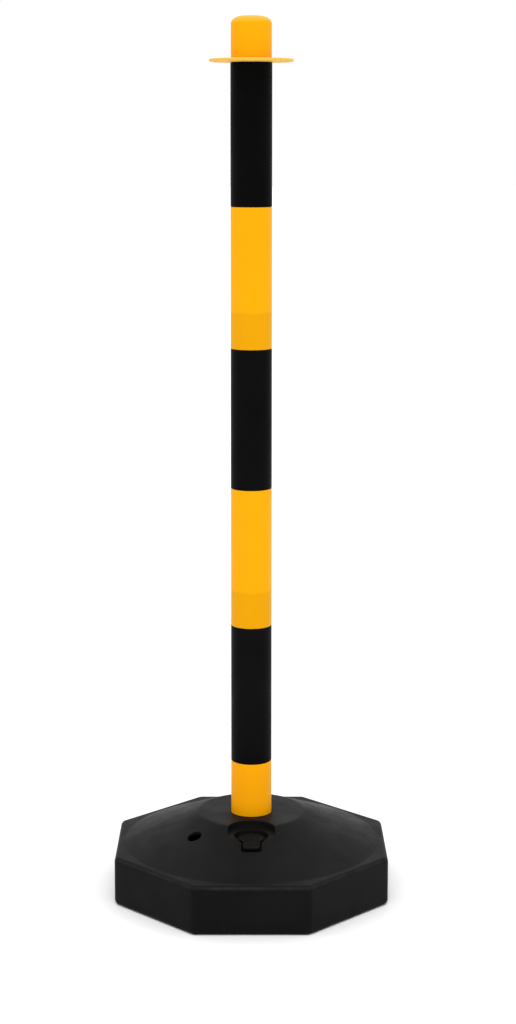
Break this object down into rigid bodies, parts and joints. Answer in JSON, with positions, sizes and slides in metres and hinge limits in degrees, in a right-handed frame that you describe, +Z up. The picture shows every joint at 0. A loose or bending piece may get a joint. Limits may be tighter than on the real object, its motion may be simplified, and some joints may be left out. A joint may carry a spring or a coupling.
{
  "type": "plastic chain stanchion",
  "caption": "Free-standing barrier post: plug-together striped tube on a hollow octagonal fillable foot, with a chain ring and end cap on top.",
  "frame": {"origin": "on the floor, on the axis of the post, at the centre of the octagonal foot", "axes": "+Z up along the post; -Y is the front, where the filler plug is; +X is the right-hand side seen from the front"},
  "size_m": [0.28, 0.28, 0.9],
  "materials": {
    "black_tank": "blow-moulded black plastic, fine satin grain",
    "black_plug": "soft black plastic, satin",
    "black_tube": "black plastic, semi-gloss",
    "yellow_tube": "slightly translucent warm yellow plastic, semi-gloss",
    "yellow_ring": "thin translucent yellow plastic, semi-gloss"
  },
  "bodies": {
    "foot": {"base_tank": "black_tank", "base_floor": "black_tank", "post_socket": "black_tank"},
    "plug": {"filler_plug": "black_plug"},
    "section_1": {"post_section_1": "yellow_tube"},
    "section_2": {"post_section_2": "black_tube"},
    "section_3": {"post_section_3": "yellow_tube"},
    "section_4": {"post_section_4": "black_tube"},
    "section_5": {"post_section_5": "yellow_tube"},
    "section_6": {"post_section_6": "black_tube"},
    "ring": {"chain_ring": "yellow_ring"},
    "cap": {"end_cap": "yellow_tube"}
  },
  "joints": [
    {"name": "plug_lift", "type": "slide", "parent": "foot", "child": "plug", "axis": [0, 0, 1], "range_m": [0, 0.06]},
    {"name": "section_1_lift", "type": "slide", "parent": "foot", "child": "section_1", "axis": [0, 0, 1], "range_m": [0, 0.08]},
    {"name": "section_2_lift", "type": "slide", "parent": "section_1", "child": "section_2", "axis": [0, 0, 1], "range_m": [0, 0.045]},
    {"name": "section_3_lift", "type": "slide", "parent": "section_2", "child": "section_3", "axis": [0, 0, 1], "range_m": [0, 0.045]},
    {"name": "section_4_lift", "type": "slide", "parent": "section_3", "child": "section_4", "axis": [0, 0, 1], "range_m": [0, 0.045]},
    {"name": "section_5_lift", "type": "slide", "parent": "section_4", "child": "section_5", "axis": [0, 0, 1], "range_m": [0, 0.045]},
    {"name": "section_6_lift", "type": "slide", "parent": "section_5", "child": "section_6", "axis": [0, 0, 1], "range_m": [0, 0.045]},
    {"name": "ring_turn", "type": "hinge", "parent": "section_6", "child": "ring", "pos_m": [0, 0, 0.856], "axis": [0, 0, 1], "continuous": true},
    {"name": "cap_lift", "type": "slide", "parent": "section_6", "child": "cap", "axis": [0, 0, 1], "range_m": [0, 0.045]}
  ]
}
